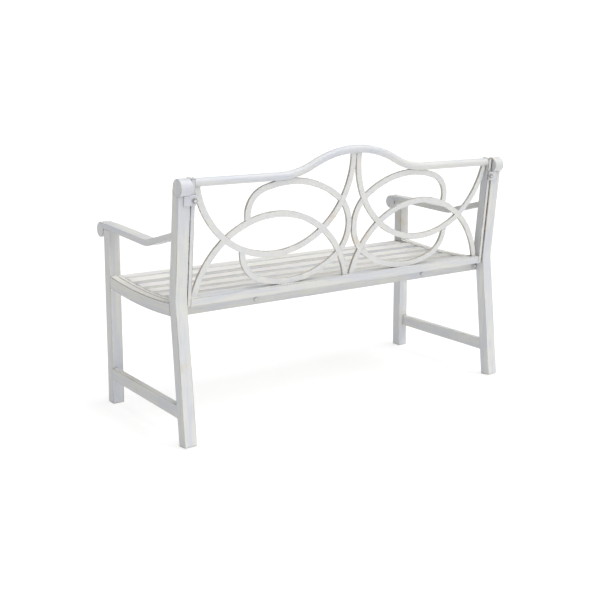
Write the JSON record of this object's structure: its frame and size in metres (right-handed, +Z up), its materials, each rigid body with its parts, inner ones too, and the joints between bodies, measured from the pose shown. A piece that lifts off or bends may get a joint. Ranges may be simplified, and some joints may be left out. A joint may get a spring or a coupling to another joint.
{
  "type": "garden bench",
  "caption": "Steel garden bench with scrolled arms, a slatted seat with a shallow dip and a reclined back of overlapping curved flat bars under a humped top rail.",
  "frame": {"origin": "on the floor, at the middle of the bench's footprint", "axes": "+X to the sitter's left along the bench, -Y the way the bench faces, +Z up"},
  "size_m": [1.27, 0.5893, 0.8553],
  "materials": {
    "frame_paint": "satin antique-white paint, lightly worn on edges and at the joints",
    "slat_paint": "satin antique-white paint, rubbed through along the slats' edges",
    "painted_fixing": "bolt heads painted with the frame, rubbed through on their corners",
    "dark_fixing": "dull dark steel hardware",
    "foot_plastic": "matt off-white moulded plastic"
  },
  "bodies": {
    "root": {"arm_scroll_left": "frame_paint", "arm_scroll_right": "frame_paint", "armrest_left": "frame_paint", "armrest_right": "frame_paint", "back_bottom_rail": "frame_paint", "back_foot_lug_left": "frame_paint", "back_foot_lug_right": "frame_paint", "back_loop_left": "frame_paint", "back_loop_right": "frame_paint", "back_lower_bolts": "painted_fixing", "back_lower_sweep_left": "frame_paint", "back_lower_sweep_right": "frame_paint", "back_mounting_tab_left": "frame_paint", "back_mounting_tab_right": "frame_paint", "back_stile_left": "frame_paint", "back_stile_right": "frame_paint", "back_top_rail": "frame_paint", "back_upper_arch_left": "frame_paint", "back_upper_arch_right": "frame_paint", "back_upper_bolts": "painted_fixing", "back_upper_spacers": "dark_fixing", "back_upper_washers": "painted_fixing", "bearer_bolts": "painted_fixing", "bearer_nuts": "dark_fixing", "front_foot_plug_left": "foot_plastic", "front_foot_plug_right": "foot_plastic", "front_leg_left": "frame_paint", "front_leg_right": "frame_paint", "lower_side_stretcher_left": "frame_paint", "lower_side_stretcher_right": "frame_paint", "post_top_roll_left": "frame_paint", "post_top_roll_right": "frame_paint", "rear_foot_plug_left": "foot_plastic", "rear_foot_plug_right": "foot_plastic", "rear_post_left": "frame_paint", "rear_post_right": "frame_paint", "seat_bearer_left": "frame_paint", "seat_bearer_right": "frame_paint", "seat_bolts": "dark_fixing", "seat_end_bar_left": "frame_paint", "seat_end_bar_right": "frame_paint", "seat_front_rail": "frame_paint", "seat_rear_rail": "frame_paint", "seat_side_rail_left": "frame_paint", "seat_side_rail_right": "frame_paint", "seat_slat_1": "slat_paint", "seat_slat_2": "slat_paint", "seat_slat_3": "slat_paint", "seat_slat_4": "slat_paint", "seat_slat_5": "slat_paint", "seat_slat_6": "slat_paint"}
  },
  "joints": []
}
